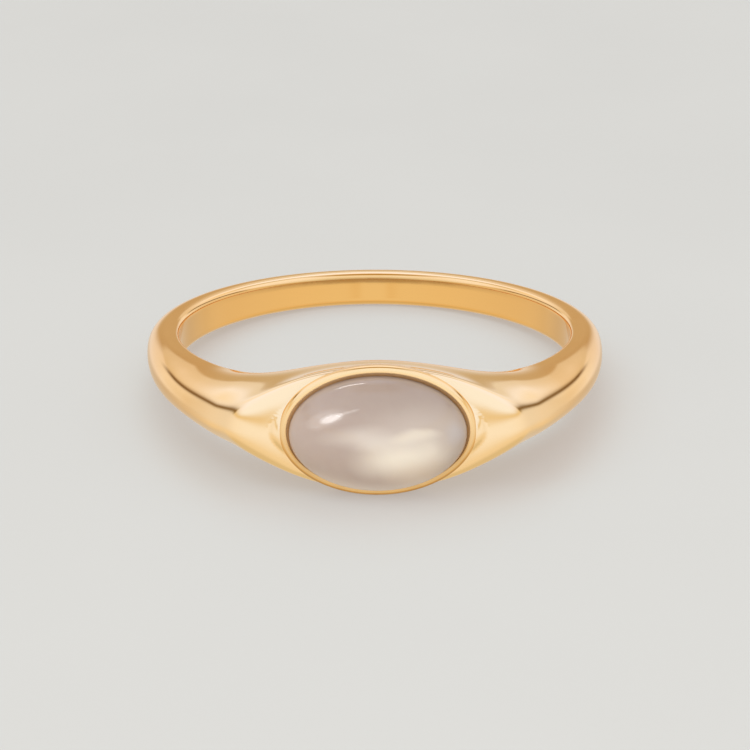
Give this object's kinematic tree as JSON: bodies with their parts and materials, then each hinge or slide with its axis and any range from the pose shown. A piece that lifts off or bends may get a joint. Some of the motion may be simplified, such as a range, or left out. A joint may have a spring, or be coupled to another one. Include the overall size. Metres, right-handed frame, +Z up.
{
  "type": "cabochon ring",
  "caption": "Finger ring lying on its side: a gold band whose shoulders swell into an oval rub-over setting with a domed moonstone.",
  "frame": {"origin": "on the floor under the middle of the ring's box as it lies on its side", "axes": "+Z up from the floor, -Y towards the setting, X across the ring from shoulder to shoulder; the finger hole's axis leans 5.7 degrees from +Z towards +Y"},
  "size_m": [0.02, 0.0228, 0.0057],
  "materials": {
    "gold": "polished yellow gold plate with fine wear",
    "moonstone": "polished milky pinkish grey stone with a soft glow inside"
  },
  "bodies": {
    "root": {"ring_body": "gold", "moonstone": "moonstone"}
  },
  "joints": []
}
